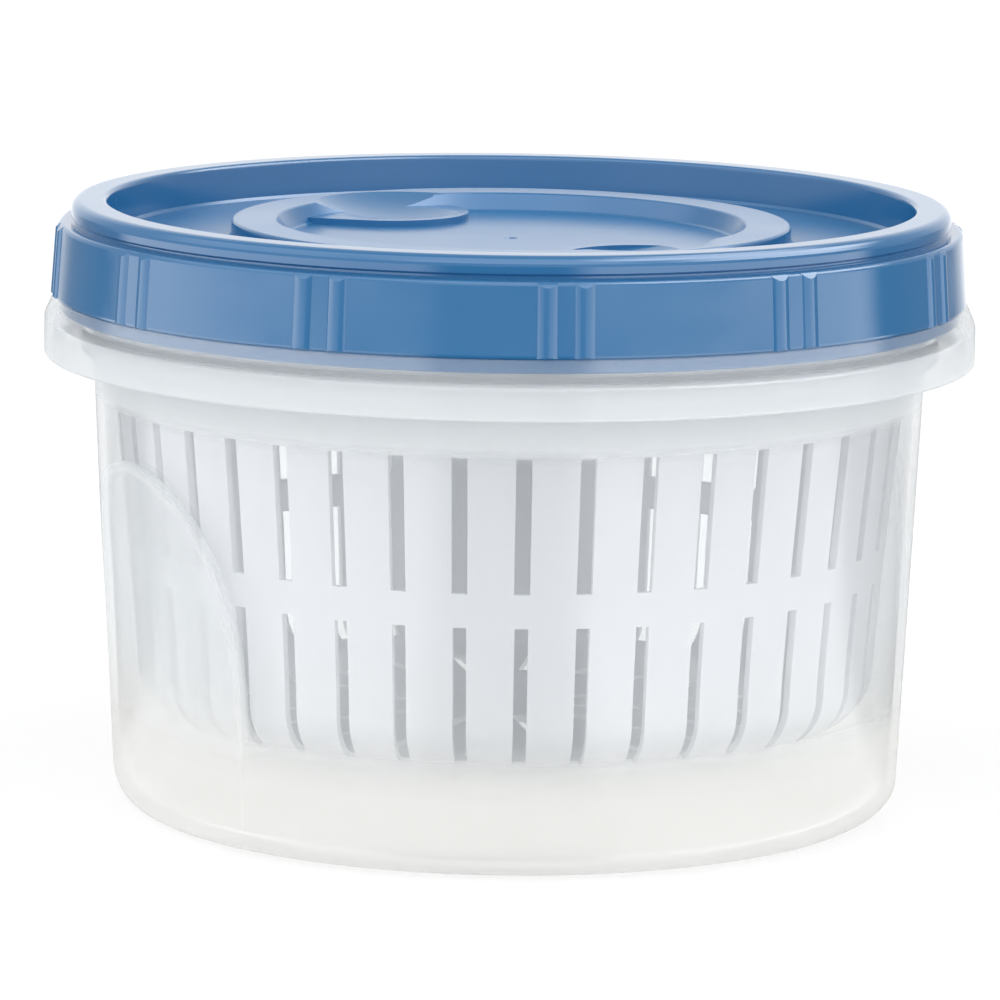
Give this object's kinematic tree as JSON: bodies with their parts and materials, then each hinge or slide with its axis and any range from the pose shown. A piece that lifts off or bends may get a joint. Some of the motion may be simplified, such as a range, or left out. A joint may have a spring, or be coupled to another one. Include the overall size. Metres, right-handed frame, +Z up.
{
  "type": "food storage container",
  "caption": "Round food keeper with a clear tapered tub, a slotted strainer basket inside and a screw lid with a stacking rim.",
  "frame": {"origin": "centre of the tub's flat foot, on the surface it stands on", "axes": "+Z up along the tub's axis, towards the lid; the two grip hollows face +X and -X"},
  "size_m": [0.168, 0.168, 0.11],
  "materials": {
    "clear_plastic": "clear polypropylene with a slight haze, glossy",
    "white_plastic": "milky white polypropylene, satin gloss",
    "blue_plastic": "smooth blue polypropylene, gloss",
    "silicone": "soft white silicone, matt"
  },
  "bodies": {
    "tub": {"container": "clear_plastic", "strainer_basket": "white_plastic"},
    "seal": {"lid_seal": "silicone"},
    "lid": {"lid": "blue_plastic"}
  },
  "joints": [
    {"name": "lid_rise", "type": "slide", "parent": "tub", "child": "seal", "axis": [0, 0, 1], "range_m": [0, 0.00302]},
    {"name": "lid_twist", "type": "hinge", "parent": "seal", "child": "lid", "pos_m": [0, 0, 0.1], "axis": [0, 0, 1], "range_deg": [0, 68]}
  ],
  "couplings": [
    {"joint": "lid_rise", "follows": "lid_twist", "m_per_rad": 0.0025465}
  ]
}
